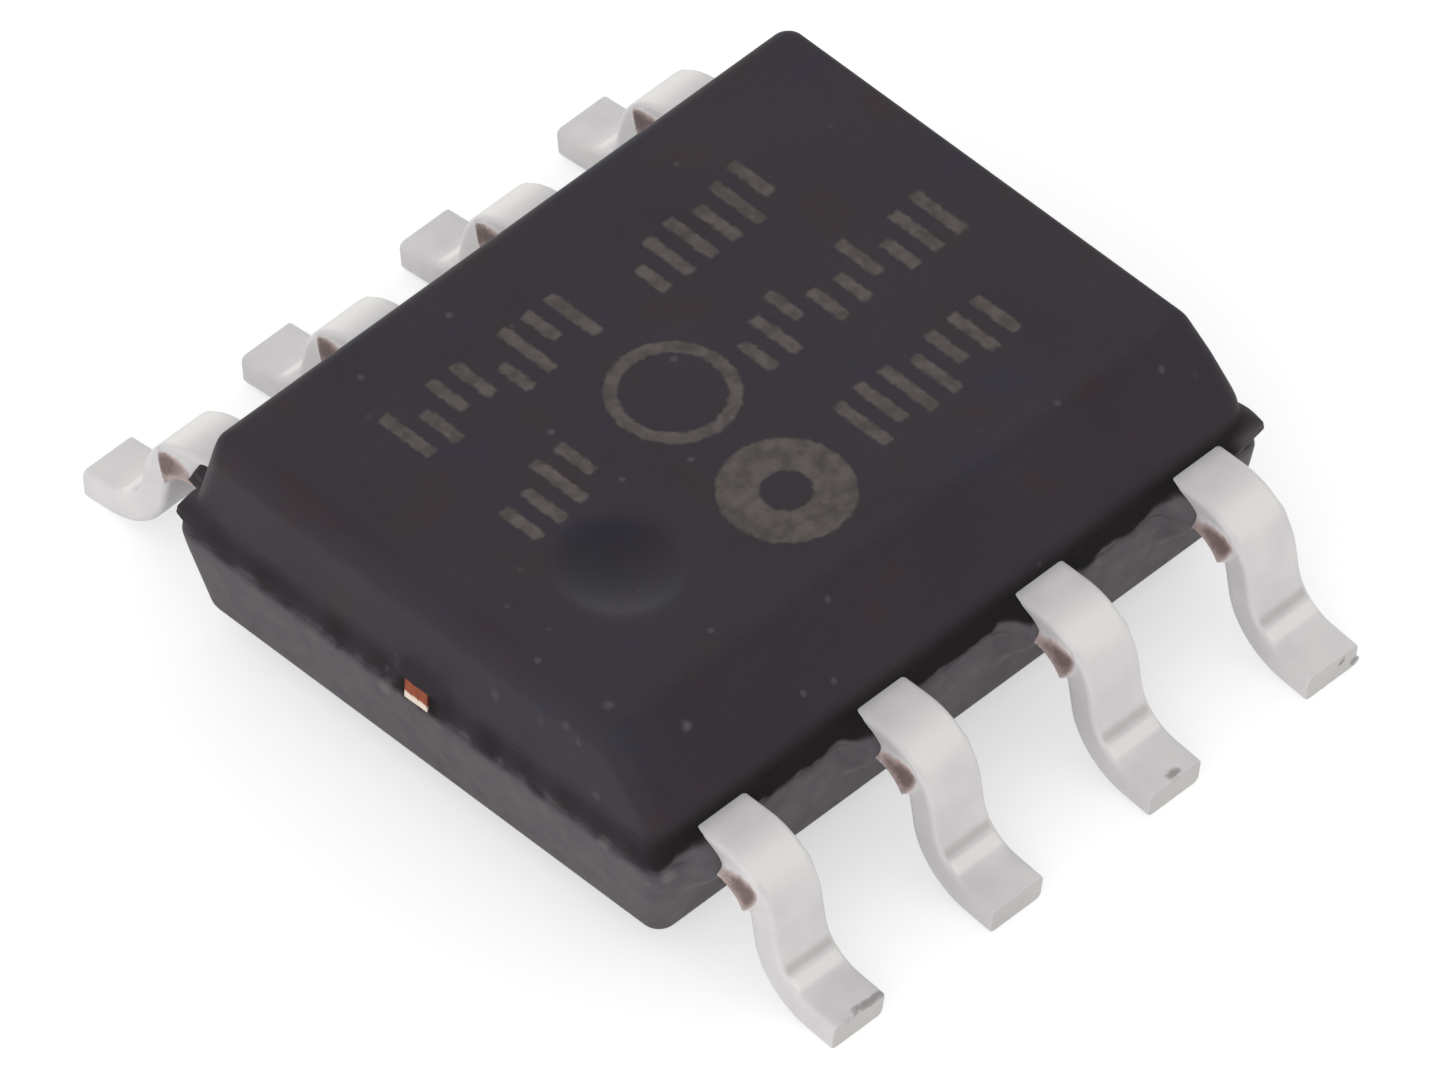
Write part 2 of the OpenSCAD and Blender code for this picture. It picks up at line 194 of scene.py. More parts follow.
def body_rows():
    """Height, wall insets and corner radii of each row: from the middle of the floor out to its edge, up
    the walls and in to the middle of the top. A corner's radius goes in straight lines from the floor's to
    the strip's and on to the top's, less the rounding of the end wall beside it."""
    z = wall_heights()
    insets, rounding = wall_insets(z)
    heights = [floor_z + floor_radius, frame_low, frame_high, top_z - max(wall_top_radii)]
    least_radius = 0.012
    radii = []
    corners = zip(corner_floor_radii, corner_radii, corner_radii, corner_top_radii)
    for wall, corner in zip(corner_end_walls, corners):
        radii.append(np.maximum(np.interp(z, heights, corner) - rounding[wall], least_radius))
    radii = np.stack(radii, -1)

    floor_rows = 10
    top_rows = 47
    flat_radius = 0.01
    floor_in = np.linspace(half_width - insets[0, 0] - 0.02, 0.03, floor_rows)
    top_reach = (2 * half_width - insets[1, -1] - insets[3, -1]) / 2
    top_in = top_reach * np.linspace(0, 0.985, top_rows + 1)[1:]
    z = np.concatenate([np.full(floor_rows, floor_z), z, np.full(top_rows, top_z)])
    insets = np.concatenate([insets[:, :1] + floor_in, insets, insets[:, -1:] + top_in], 1)
    on_floor, on_top = (np.full((count, 4), flat_radius) for count in (floor_rows, top_rows))
    return z, insets, np.concatenate([on_floor, radii, on_top])


def body_outlines():
    """The body without its relief: each row's height, wall insets and points, and each column's outward
    direction. A row is a rounded rectangle: the middles of its corners lie one radius in from the walls,
    and its points one radius out from the lines between those middles."""
    z, insets, radii = body_rows()
    start, share, outward = ring_samples()
    right, far, left, near = insets
    corners = np.stack([np.stack(v, -1) for v in (
        (half_length - right - radii[:, 0], half_width - far - radii[:, 0]),
        (left + radii[:, 1] - half_length, half_width - far - radii[:, 1]),
        (left + radii[:, 2] - half_length, near + radii[:, 2] - half_width),
        (half_length - right - radii[:, 3], near + radii[:, 3] - half_width))], 1)
    following = (start + 1) % 4
    radius = radii[:, start] + share[None] * (radii[:, following] - radii[:, start])
    plan = corners[:, start] + share[None, :, None] * (corners[:, following] - corners[:, start])
    return z, insets, plan + radius[..., None] * outward[None], outward


lead_pitch = 1.27
lead_width = 0.41
tie_half_width = 0.09
strip_slack = 0.002
square_on = 0.99


def in_strip(z):
    """Whether each row lies in the strip between the halves, as a column."""
    return ((z > frame_low + strip_slack) & (z < frame_high - strip_slack))[:, None]


def corner_flash(z, plan, outward):
    """How much of the flash is left at each point, from 0 to 1, on the two opposite corners that kept it:
    smooth steps in from both walls, a little less on the slant between them, and steps at the strip's two
    edges."""
    flash_start = 0.34
    flash_full = 0.16
    spread = step_up(abs(plan[..., 0]), half_length - flash_start, half_length - flash_full)
    spread = spread * step_up(abs(plan[..., 1]), half_width - flash_start, half_width - flash_full)
    kept = plan[..., 0] * plan[..., 1] < 0
    off_slant = 0.75 + 0.25 * abs(abs(outward[None, :, 0]) - abs(outward[None, :, 1]))
    upright = step_up(z, frame_low, frame_low + 0.12) * step_up(-z, -frame_high - 0.04, -frame_high + 0.03)
    return spread * kept * off_slant * upright[:, None]


def room_outward(plan, outward):
    """How far each point can move outward before it meets the body's box."""
    tiny = 1e-6
    to_ends = (half_length - abs(plan[..., 0])) / np.maximum(abs(outward[None, :, 0]), tiny)
    to_sides = (half_width - abs(plan[..., 1])) / np.maximum(abs(outward[None, :, 1]), tiny)
    return np.minimum(to_ends, to_sides)


def resin_tongues(z, off_lead, outward, near):
    """How far the tongues of resin stand out, on the left of each near lead: a smooth step along the wall
    up to the lead, times a square root down from the strip's upper edge, times a step up the lower wall."""
    tongue_reach = 0.16
    lead_edge = -lead_width / 2
    beside = step_up(off_lead, lead_edge - 0.18, lead_edge - 0.03) * (off_lead < 0)
    crown = np.sqrt(np.clip((frame_high - 0.005 - z) / lead_thickness, 0, 1))
    shape = crown * step_up(z, frame_low - 0.26, frame_low)
    return beside * (outward[None, :, 1] < -square_on) * (shape * (tongue_reach + near))[:, None]


def resin_nub(z, plan, outward):
    """How much of the nub of resin beside lead 8 is at each point, from 0 to 1: a block with smooth sides
    on the far wall's strip."""
    nub_x = -2.11
    block = step_up(-abs(plan[..., 0] - nub_x), -0.1, -0.06) * (outward[None, :, 1] > square_on)
    return block * in_strip(z) * step_up(-z, -frame_high, -frame_high + 0.02)[:, None]


def beside_tie(plan, outward):
    """1 round the ends of the tie bars and 0 away from them, with a smooth step on each side."""
    near_middle = step_up(-abs(plan[..., 1]), -tie_half_width - 0.15, -tie_half_width - 0.02)
    return near_middle * (abs(outward[None, :, 0]) > square_on)


def tie_cover(z):
    """How far inside the box the resin round a tie bar lies, as a column: just behind the cut end, nearer
    over its upper edge and back to the wall above that."""
    heights = [frame_low, frame_high - 0.04, frame_high - 0.03, frame_high + 0.01, frame_high + 0.07]
    return np.interp(z, heights, [0.022, 0.022, 0.004, 0.006, 0.075])[:, None]


dimple_middle = np.array([1.09 - half_length, -0.53])
dimple_radius = 0.4
dimple_depth = 0.08


def dimple_dish(off):
    """Depth of the dimple at this distance from its middle, in radii: a parabola, blended into the flat by
    a square root and gone at one and a half radii."""
    dish = (1 - off ** 2) / 2
    softness = 0.004
    return dimple_depth * (dish + np.sqrt(dish ** 2 + softness)) * step_up(-off, -1.5, -1.0)


def moulding():
    """Points of the body, and at each how broken or shaded, how pale or lit, and how polished and shaded it
    is.
    The outlines are pushed out at the strip by its ragged edge, the tongues, the nub, the flash and the
    resin round the tie bars, then raised at the lip of the lower half and sunk at the dimple. The lower
    half is pale up to a wavy line, which rises beside the near leads: partly paler resin and partly painted
    light from the white floor, painted less on the end walls, and the flash on the near right corner is
    painted lit. The strip above that line is broken, and painted shade makes it darker and reach higher on
    the near wall. The dimple is polished and painted darker as shade."""
    z, insets, plan, outward = body_outlines()
    rim = np.argmin(abs(z - frame_low))
    steps = np.linalg.norm(np.diff(plan[rim], axis=0, append=plan[rim, :1]), axis=1)
    walk = np.cumsum(steps) - steps[0]
    lap = steps.sum()
    end_side = abs(outward[None, :, 0])
    long_side = abs(outward[None, :, 1])
    near_side = np.clip(-outward[None, :, 1], 0, 1)
    off_lead = ((plan[..., 0] / lead_pitch) % 1 - 0.5) * lead_pitch
    flash = corner_flash(z, plan, outward)
    nub = resin_nub(z, plan, outward)
    at_tie = beside_tie(plan, outward)

    nub_reach = 0.17
    flash_inset = 0.003
    relief_top = frame_high + 0.08
    ragged = waves(walk, lap, seed=3, finest=0.09, height=0.006)[None] * (0.3 + 0.7 * long_side)
    out = np.minimum(ragged, strip_inset - 0.004)
    out = np.maximum(out, nub_reach * nub) * in_strip(z) + resin_tongues(z, off_lead, outward, insets[3])
    out = out + (room_outward(plan, outward) - flash_inset - out) * flash
    swell = at_tie * np.maximum(insets[0][:, None] - tie_cover(z), 0)
    out = np.where((z > frame_low + strip_slack)[:, None], out + swell, out)
    out = out * (z < relief_top)[:, None]
    plan = plan + out[..., None] * outward[None]

    lip_below = 0.12
    lip_above = 0.17
    lip = step_up(z, frame_low - lip_below, frame_low) * np.clip(1 - (z - frame_low) / lip_above, 0, 1)
    lift = 0.018 + 0.05 * long_side ** 4 + waves(walk, lap, seed=11, finest=0.2, height=0.005)[None]
    lift = lift + 0.012 * at_tie[rim]
    height = z[:, None] + lift * lip[:, None]
    off = np.linalg.norm(plan - dimple_middle, axis=-1) / dimple_radius
    on_top = z[:, None] > top_z - 1e-6
    height = height - dimple_dish(off) * on_top

    lead_places = np.array([-1.5, -0.5, 0.5, 1.5]) * lead_pitch
    lead_rises = [0.09, 0.04, 0.045, 0.09]
    lead_edge = -lead_width / 2
    rise = step_up(off_lead, lead_edge - 0.32, lead_edge - 0.02) * (off_lead < 0) * near_side
    rise = rise * np.interp(plan[..., 0], lead_places, lead_rises)
    low_edge = frame_low + 0.035 + 0.05 * long_side ** 4 + rise
    low_edge = low_edge + waves(walk, lap, seed=13, finest=0.09, height=0.008)[None] * (1 + 0.5 * end_side)
    # Painted shade: on the near wall the dark strip reaches 0.1 higher, up onto the upper wall.
    high_edge = frame_high - 0.04 + 0.1 * near_side
    above_rim = step_up(height, low_edge - 0.016 - 0.02 * end_side, low_edge + 0.016 + 0.01 * end_side)
    patches = waves(walk, lap, seed=17, finest=0.3, height=1.0)[None]
    # Painted shade: the strip is painted darkest on the near wall. Elsewhere its darkness is the broken
    # resin's own.
    depth = 0.45 + 0.55 * near_side + 0.12 * patches * (1 - near_side)
    depth = np.maximum(np.clip(depth, 0.25, 1), at_tie)
    broken_and_shade = depth * above_rim * step_up(-height, -high_edge - 0.11, -high_edge + 0.06)
    # Painted light: the flash on the near right corner is painted pale, as if lit.
    lit_flash = flash * (plan[..., 0] > 0)
    # The pale lower half: partly paler resin, partly painted light from the white floor, painted less on
    # the end walls.
    pale_and_lit = np.maximum(1 - above_rim, 0.85 * lit_flash) * (1 - nub) * (1 - 0.19 * end_side)
    # The polished dimple, which also takes painted shade in the finish.
    polish_and_shade = step_up(-off, -1.1, -0.75) * on_top
    return np.concatenate([plan, height[..., None]], -1), broken_and_shade * (1 - lit_flash), pale_and_lit, polish_and_shade


class Tone:
    """A value in a finish's node tree. Arithmetic on it adds Math nodes, and node() adds any other node."""

    def __init__(self, tree, socket=None):
        self.tree = tree
        self.socket = socket

    def node(self, kind, settings=(), out=0, **values):
        """Adds a node: its settings first, then a value or a Tone for each named socket (_ stands for a
        space, and a letter with a number for the socket of that number)."""
        made = self.tree.nodes.new("ShaderNode" + kind)
        for key, value in dict(settings).items():
            setattr(made, key, value)
        for key, value in values.items():
            place = int(key[1:]) if key[1:].isdigit() else key.replace("_", " ")
            self.feed(made.inputs[place], value)
        return Tone(self.tree, made.outputs[out])

    def other(self, name):
        """Another output of the same node."""
        return Tone(self.tree, self.socket.node.outputs[name])

    def feed(self, socket, value):
        """Links a Tone to a socket, or sets a plain value on it."""
        if isinstance(value, Tone):
            self.tree.links.new(value.socket, socket)
        else:
            socket.default_value = value

    def maths(self, operation, *values):
        """Adds a Math node for this operation."""
        return self.node("Math", {"operation": operation}, **{f"i{n}": v for n, v in enumerate(values)})

    def __add__(self, other):
        return self.maths("ADD", self, other)

    def __sub__(self, other):
        return self.maths("SUBTRACT", self, other)

    def __rsub__(self, other):
        return self.maths("SUBTRACT", other, self)

    def __mul__(self, other):
        return self.maths("MULTIPLY", self, other)

    def __truediv__(self, other):
        return self.maths("DIVIDE", self, other)

    def __abs__(self):
        return self.maths("ABSOLUTE", self)

    __radd__ = __add__
    __rmul__ = __mul__

    def above(self, edge, soft):
        """0 where the value is below edge and 1 above it, with a smooth band of this half width."""
        return self.node("MapRange", {"interpolation_type": "SMOOTHSTEP"}, Value=self,
                         From_Min=edge - soft, From_Max=edge + soft)

    def blend(self, first, second):
        """A colour that goes from the first to the second as this value goes from 0 to 1."""
        return self.node("Mix", {"data_type": "RGBA"}, out=2, Factor=self, i6=first, i7=second)


def new_finish(name):
    """A material with one Principled shader, and a Tone to start its node tree from."""
    material = bpy.data.materials.new(name)
    material.use_nodes = True
    return material, Tone(material.node_tree), material.node_tree.nodes["Principled BSDF"]


def set_shader(paint, shader, **values):
    """Gives the shader a value or a Tone for each named input (_ stands for a space)."""
    for key, value in values.items():
        paint.feed(shader.inputs[key.replace("_", " ")], value)


def millimetres(paint, stretch=(1, 1, 1)):
    """The place on the object in millimetres, stretched along each axis."""
    place = paint.node("TexCoord", out="Object")
    return paint.node("Mapping", Vector=place, Scale=tuple(s / MM for s in stretch))


def grain(paint, place, size, detail=2.0, rough=0.5):
    """Noise from 0 to 1 with lumps of this size in millimetres."""
    return paint.node("TexNoise", Vector=place, Scale=1 / size, Detail=detail, Roughness=rough)


def kept_mark(paint, name):
    """The number that mark() kept for each point under this name."""
    return paint.node("Attribute", {"attribute_name": name}, out="Fac")


# Each group of bars is its row's y, its left end's x and its number of bars. Each ring is the x and y of
# its middle, its radius and half the width of its line.
bar_pitch = 0.19
bar_half_width = 0.042
bar_half_height = 0.22
bar_groups = [(1.0, -1.6, 8), (1.0, 0.25, 6), (0.15, -1.62, 4), (0.15, 0.25, 9), (-0.7, 0.3, 7)]
ring_marks = [(-0.2, 0.2, 0.355, 0.042), (-0.28, -0.78, 0.28, 0.125)]


def laser_marks(paint, place):
    """Rows of upright bars and two rings, burnt into the top. For each, how far a point lies inside its
    edge: the bars repeat at one pitch, and a random number for each sets how far it stops short of the
    row's upper or lower line."""
    x = paint.node("SeparateXYZ", out="X", Vector=place)
    y = x.other("Y")
    up = x.other("Z")
    most_shift = 0.2
    bar_rounding = 0.04
    inside = None
    for seed, (row_y, left, count) in enumerate(bar_groups):
        turn = (x - left) / bar_pitch
        number = paint.maths("FLOOR", turn)
        chance = paint.node("TexWhiteNoise", {"noise_dimensions": "1D"}, W=number + 20.0 * seed)
        shift = (chance - 0.5) * most_shift
        across = bar_half_width - abs(turn - number - 0.5) * bar_pitch
        along = bar_half_height - abs(shift) - abs(y - row_y - shift)
        bars = paint.maths("SMOOTH_MIN", across, along, bar_rounding)
        half_row = count * bar_pitch / 2
        bars = paint.maths("MINIMUM", bars, half_row - abs(x - (left + half_row)))
        inside = bars if inside is None else paint.maths("MAXIMUM", inside, bars)
    for ring_x, ring_y, ring_radius, half_stroke in ring_marks:
        off_x = x - ring_x
        off_y = y - ring_y
        ring = half_stroke - abs(paint.maths("SQRT", off_x * off_x + off_y * off_y) - ring_radius)
        inside = paint.maths("MAXIMUM", inside, ring)
    wobble = (grain(paint, place, size=0.05) - 0.5) * 0.04
    return (inside + wobble).above(0.0, 0.012) * up.above(top_z - 0.01, 0.005)


# Each chip is its middle and its radius.
chips = [
    ((-2.435, 0.25, 0.76), 0.045), ((-2.36, -1.93, 0.815), 0.05), ((-2.32, -0.55, 1.25), 0.04),
    ((-2.3, -0.9, 1.3), 0.05), ((-2.16, -1.24, 1.54), 0.025), ((-2.325, -1.085, 1.4), 0.02),
    ((-2.328, -1.195, 1.364), 0.018), ((-2.354, -1.361, 1.067), 0.022), ((-2.445, -1.49, 0.82), 0.04),
    ((-1.87, -1.566, 1.414), 0.025),
]


def epoxy_finish():
    """Matte charcoal epoxy: fine moulded grain, violet and brown clouds, pale filler specks and chips, a
    bevel darkened with painted shade, a paler lower half that is partly painted light from the white floor,
    the dark broken strip with painted shade on the near wall, the polished dimple painted darker as shade,
    and the burnt marks."""
    material, paint, shader = new_finish("charcoal_epoxy")
    place = millimetres(paint)
    clouds = grain(paint, place, size=0.9, detail=3.0)
    hue = grain(paint, place, size=0.4)
    fine = grain(paint, place, size=0.03, detail=3.0, rough=0.6)
    mottle = grain(paint, place, size=0.06)
    lumps = mottle - 0.5
    broken_and_shade, pale_and_lit, polish_and_shade = (kept_mark(paint, name) for name in ("broken_and_shade", "pale_and_lit", "polish_and_shade"))
    marks = laser_marks(paint, place)

    speck_pitch = 0.22
    cells = paint.node("TexVoronoi", Vector=place, Scale=1 / speck_pitch, out="Distance")
    chance = paint.node("SeparateColor", Color=cells.other("Color"))
    specks = (0.09 + lumps * 0.1 - cells).above(0.0, 0.06) * chance.above(0.7, 0.05)
    specks = specks * (1 - broken_and_shade) * 0.22
    for middle, chip_radius in chips:
        off = paint.node("VectorMath", {"operation": "DISTANCE"}, out="Value", i0=place, i1=middle)
        chip = (chip_radius - off + lumps * 0.04).above(0.0, 0.03)
        specks = paint.maths("MAXIMUM", specks, chip * 0.35)

    violet_black = (0.0455, 0.042, 0.0555, 1)
    brown_black = (0.0535, 0.0412, 0.0475, 1)
    cloud_and_shade_black = (0.026, 0.019, 0.026, 1)
    pit_black = (0.03, 0.024, 0.029, 1)
    # The lower half's two tones are partly painted light. The strip and dimple blacks are partly painted
    # shade.
    lit_lower_dark = (0.1, 0.088, 0.099, 1)
    lit_lower_pale = (0.139, 0.126, 0.134, 1)
    strip_and_shade_black = (0.0165, 0.0142, 0.0152, 1)
    dimple_shade_black = (0.014, 0.013, 0.022, 1)
    filler_grey = (0.25, 0.235, 0.245, 1)
    burnt_dark = (0.084, 0.073, 0.067, 1)
    burnt_pale = (0.138, 0.121, 0.114, 1)
    bevel_top_y = -1.42
    across = paint.node("SeparateXYZ", out="Y", Vector=place)
    # Where the 45 degree bevel lies, for the painted shade on it.
    bevel_shade = (bevel_top_y - across).above(0.0, 0.06)
    epoxy = hue.above(0.5, 0.2).blend(violet_black, brown_black)
    # Dark clouds, and painted shade that darkens the bevel.
    epoxy = (clouds.above(0.5, 0.4) * 0.3 + bevel_shade * 0.1).blend(epoxy, cloud_and_shade_black)
    epoxy = (fine.above(0.5, 0.3) * 0.25).blend(epoxy, pit_black)
    # The pale lower half: partly paler resin, partly painted light from the white floor below.
    lower = grain(paint, place, size=0.14, detail=3.0).above(0.5, 0.3).blend(lit_lower_dark, lit_lower_pale)
    epoxy = pale_and_lit.blend(epoxy, lower)
    # The broken strip's black, deepened by painted shade on the near wall.
    epoxy = broken_and_shade.blend(epoxy, strip_and_shade_black)
    # Painted shade: the dimple's hollow is painted darker.
    epoxy = (polish_and_shade * 0.6).blend(epoxy, dimple_shade_black)
    epoxy = specks.blend(epoxy, filler_grey)
    burnt = grain(paint, place, size=0.09, detail=3.0).above(0.5, 0.25).blend(burnt_dark, burnt_pale)
    relief = fine * 0.5 + broken_and_shade * mottle * 2.0 - marks * (0.6 + mottle * 0.8)
    set_shader(
        paint, shader,
        Base_Color=marks.blend(epoxy, burnt),
        Roughness=0.52 + (clouds - 0.5) * 0.12 + broken_and_shade * 0.35 + marks * 0.2 - polish_and_shade * 0.2,
        Specular_IOR_Level=0.14,
        Coat_Weight=polish_and_shade * 0.2,
        Coat_Roughness=0.3,
        Normal=paint.node("Bump", Height=relief, Strength=0.35, Distance=0.012 * MM),
    )
    return material


body_points, body_broken_and_shade, body_pale_and_lit, body_polish_and_shade = moulding()
moulded_body = skin("moulded_body", body_points)
mark(moulded_body, "broken_and_shade", body_broken_and_shade)
mark(moulded_body, "pale_and_lit", body_pale_and_lit)
mark(moulded_body, "polish_and_shade", body_polish_and_shade)
moulded_body.data.materials.append(epoxy_finish())
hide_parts("mould_body")
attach(moulded_body, "root")


# Leads. Eight strips stamped from one sheet of copper, matte tin plated, then bent to a gull wing after
# moulding. The dam bar that tied them together is punched out, which leaves bare copper stubs at the
# shoulders.
leg_lean = np.radians(10)
foot_slope = np.radians(6.5)
foot_length = 0.2
shoulder_arc = 0.24 + lead_thickness / 2
heel_arc = 0.3 + lead_thickness / 2
lead_names = [f"lead_{n}" for n in range(1, 9)]


def gull_wing(start, span):
    """The strip's middle line: its direction is a broken line over the distance along it, flat, then turned
    down round the shoulder, straight down the leg, turned back round the heel and straight along the foot.
    Gives the distances and the directions at the ends of those runs, and the height that it starts at."""
    shoulder = np.pi / 2 - leg_lean
    half = lead_thickness / 2
    middle_z = frame_low + half
    drop = (middle_z - half * np.cos(foot_slope) - shoulder_arc * (1 - np.cos(shoulder))
            - heel_arc * (np.cos(foot_slope) - np.cos(shoulder)) - foot_length * np.sin(foot_slope))
    leg = drop / np.sin(shoulder)
    out = (half * np.sin(foot_slope) + shoulder_arc * np.sin(shoulder) + leg * np.cos(shoulder)
           + heel_arc * (np.sin(shoulder) - np.sin(foot_slope)) + foot_length * np.cos(foot_slope))
    flat = span - out - start
    runs = [0, flat, shoulder_arc * shoulder, leg, heel_arc * (shoulder - foot_slope), foot_length]
    turns = np.array([0, 0, -shoulder, -shoulder, -foot_slope, -foot_slope])
    return np.cumsum(runs), turns, middle_z


def strip_places(rows, stops, turns, start, middle_z):
    """Distance from the body's middle line, height and direction at each row: small equal steps along the
    strip are added up, each in the mean of the directions at its two ends."""
    fine = np.linspace(0, stops[-1], 4001)
    heading = np.interp(fine, stops, turns)
    gap = fine[1]
    outward_steps = (np.cos(heading[1:]) + np.cos(heading[:-1])) / 2 * gap
    upward_steps = (np.sin(heading[1:]) + np.sin(heading[:-1])) / 2 * gap
    fine_s = start + np.concatenate([[0], np.cumsum(outward_steps)])
    fine_z = middle_z + np.concatenate([[0], np.cumsum(upward_steps)])
    return [np.interp(rows, fine, v) for v in (fine_s, fine_z, heading)]


def section_ring(columns=11, side_columns=5, corner_columns=6):
    """Places round the strip's section: across and through it from -1 to 1, and the rounding at the
    edges."""
    turn = np.radians(np.linspace(0, 90, corner_columns))
    flat = np.linspace(1, -1, columns + 2)[1:-1]
    side = np.linspace(-1, 1, side_columns + 2)[1:-1]
    across, through, round_a, round_t = [], [], [], []
    corners = ((1, 1, 0), (-1, 1, 90), (-1, -1, 180), (1, -1, 270))
    edges = ((flat, 1, 0, 1), (-1, -side, -1, 0), (-flat, -1, 0, -1), (1, side, 1, 0))
    for (ca, ct, first), (ea, et, ra, rt) in zip(corners, edges):
        angle = np.radians(first) + turn
        length = np.size(ea) if np.ndim(ea) else np.size(et)
        across += [np.full(turn.size, ca), np.broadcast_to(ea, length)]
        through += [np.full(turn.size, ct), np.broadcast_to(et, length)]
        round_a += [np.cos(angle), np.full(length, ra)]
        round_t += [np.sin(angle), np.full(length, rt)]
    return [np.concatenate(v) for v in (across, through, round_a, round_t)]


stub_width = 0.04
stub_flat_length = 0.08
stub_wrap = np.radians(50)
stub_slant = np.radians(16)
finger_length = 0.35
corner_finger_length = 0.45
edge_radius = 0.038
toe_radius = 0.008
soft = 0.012
bar_turn = np.radians(36)
bar_height = 0.014
groove_depth = 0.005
burr_lead = 4
burr_reach = 0.032


def lead_rows(stops, tip, stub_from, stub_to, stub_end):
    """Distances along the strip at which it has a section: closer together at the finger's end, at the
    stubs, round the heel and at the toe."""
    total = stops[-1]
    toe_turn = np.radians(np.linspace(0, 90, 5))
    return np.unique(np.round(np.concatenate([
        np.linspace(0, tip, 6),
        tip + np.linspace(0, soft, 4),
        np.linspace(tip, stub_from, 14),
        np.linspace(stub_from, stub_to - soft, 26),
        np.linspace(stub_to - soft, stub_end + soft, 22),
        np.linspace(stub_end + soft, stops[3], 16),
        np.linspace(stops[3], stops[4], 44),
        np.linspace(stops[4], total - toe_radius, 16),
        total - toe_radius + toe_radius * np.sin(toe_turn),
    ]), 5))


def formed_lead(number, name):
    """One lead: the rounded section carried along the gull wing, wider at the finger and at the trimmed
    stubs, whose ends are slanted and ragged, with a tool bar and a groove across the heel and a burr on one
    toe. Gives its points, how bare the copper is at each, and where light and shade are painted on the tin:
    above 0 on the bar and the bend of the shoulder, a painted highlight, and below 0 in the groove and on
    the toe, painted shade."""
    low, high = (np.array(corner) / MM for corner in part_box(name))
    side = 1 if high[1] > 0 else -1
    start = min(abs(low[1]), abs(high[1]))
    span = max(abs(low[1]), abs(high[1]))
    place = number - 1 if number <= 4 else 8 - number
    lead_x = (place - 1.5) * lead_pitch
    stops, turns, middle_z = gull_wing(start, span)
    total = stops[-1]
    stub_from = stops[1] - stub_flat_length
    stub_to = stops[1] + shoulder_arc * stub_wrap
    stub_end = stub_to + shoulder_arc * stub_slant
    tip = corner_finger_length if place in (0, 3) else finger_length
    rows = lead_rows(stops, tip, stub_from, stub_to, stub_end)
    s, z, turn = strip_places(rows, stops, turns, start, middle_z)

    across, through, round_a, round_t = section_ring()
    under = (1 - through[None]) / 2
    row = rows[:, None]
    slant_end = stub_to + shoulder_arc * stub_slant * under
    slant_start = stub_from + 0.85 * (stub_to - stub_from) * (1 - under)
    fade = soft * (1 + 3 * (1 - under))
    begun = step_up(row, slant_start - soft, slant_start + 0.04)
    in_stub = begun * step_up(-row, -slant_end - fade, -slant_end + fade)
    in_stub = in_stub * (1 - 0.5 * (across[None] * side < 0))
    in_tip = step_up(-rows, -tip - soft, -tip)[:, None]
    half = lead_width / 2
    stub = stub_width * in_stub * (0.3 + 0.7 * under)
    sides = []
    for reach in (lead_x - low[0], high[0] - lead_x)[::side]:
        finger = max(reach - half, 0) * in_tip * (reach > half + stub_width + 0.01)
        sides.append(half + stub + finger)
    end = np.clip((rows - (total - toe_radius)) / toe_radius, 0, 1)
    trim = (toe_radius * (1 - np.sqrt(1 - end ** 2)))[:, None]
    wide = np.where(across[None] > 0, sides[0], sides[1])
    edge = edge_radius * (1 - 0.7 * in_stub)
    a = across[None] * (wide - edge - trim) + round_a[None] * edge
    t = through[None] * (lead_thickness / 2 - edge - trim) + round_t[None] * edge

    bar_at = stops[3] + heel_arc * (np.pi / 2 - leg_lean - bar_turn)
    bar = np.exp(-((row - bar_at) / 0.07) ** 4)
    groove = np.exp(-((row - bar_at + 0.12) / 0.05) ** 2)
    on_top = (through > 0.5) * step_up(-abs(a) / half, -0.96, -0.8)
    t = t + (bar_height * bar - groove_depth * groove) * on_top
    # Painted highlight on the shoulder's bend and on the heel's bar, painted shade in the groove.
    bend = np.exp(-((row - stops[1] - 0.42 * (stops[2] - stops[1])) / 0.13) ** 2)
    sheen_and_shade = (bar - 0.7 * groove + 0.85 * bend) * on_top
    if number == burr_lead:
        burr = np.exp(-((row - total) / 0.04) ** 2) * step_up(under, 0.55, 1.0) * (round_a > 0.3)
        a = a + burr_reach * burr
    punched = waves(row * 3 + t * 5, 12.0, seed=20 + number, finest=0.06, height=0.004) * in_stub
    a = a + np.sign(across)[None] * np.minimum(punched, 0) * (abs(round_a)[None] > 0.7)

    points = np.stack([
        lead_x - side * a,
        side * (s[:, None] - t * np.sin(turn)[:, None]),
        z[:, None] + t * np.cos(turn)[:, None],
    ], -1)
    inward = np.array([0.35, 0.7, 0.93])[:, None, None]
    toe_face = points[-1] + (points[-1].mean(0) - points[-1]) * inward
    into_stub = np.clip((row - slant_start) / (slant_end - slant_start), 0, 1)
    core = np.sqrt(np.clip(6.75 * into_stub ** 2 * (1 - into_stub), 0, 1)) * (1 - 0.8 * through[None] ** 2)
    bare = in_stub * step_up(abs(round_a), 0.3, 0.7)[None] * step_up(under, 0.0, 0.1) * (0.3 + 0.7 * core)
    # Painted shade on the toe and on its end face.
    toe_shade = np.full((3, across.size), -0.5)
    sheen_and_shade = sheen_and_shade - 0.5 * step_up(row, total - 0.5 * toe_radius, total)
    return (np.concatenate([points, toe_face]), np.concatenate([bare, 0 * toe_shade]),
            np.concatenate([sheen_and_shade, toe_shade]))


# Each stain is its middle, how it is squeezed along each axis, and its radius.
stains = [
    ((0.645, -2.965, 0.19), (0.7, 1, 1), 0.03), ((1.98, -2.995, 0.14), (1, 1, 1), 0.022),
    ((2.09, -2.99, 0.06), (1, 1, 1), 0.03), ((-1.81, -2.985, 0.195), (0.17, 1, 1), 0.024),
]


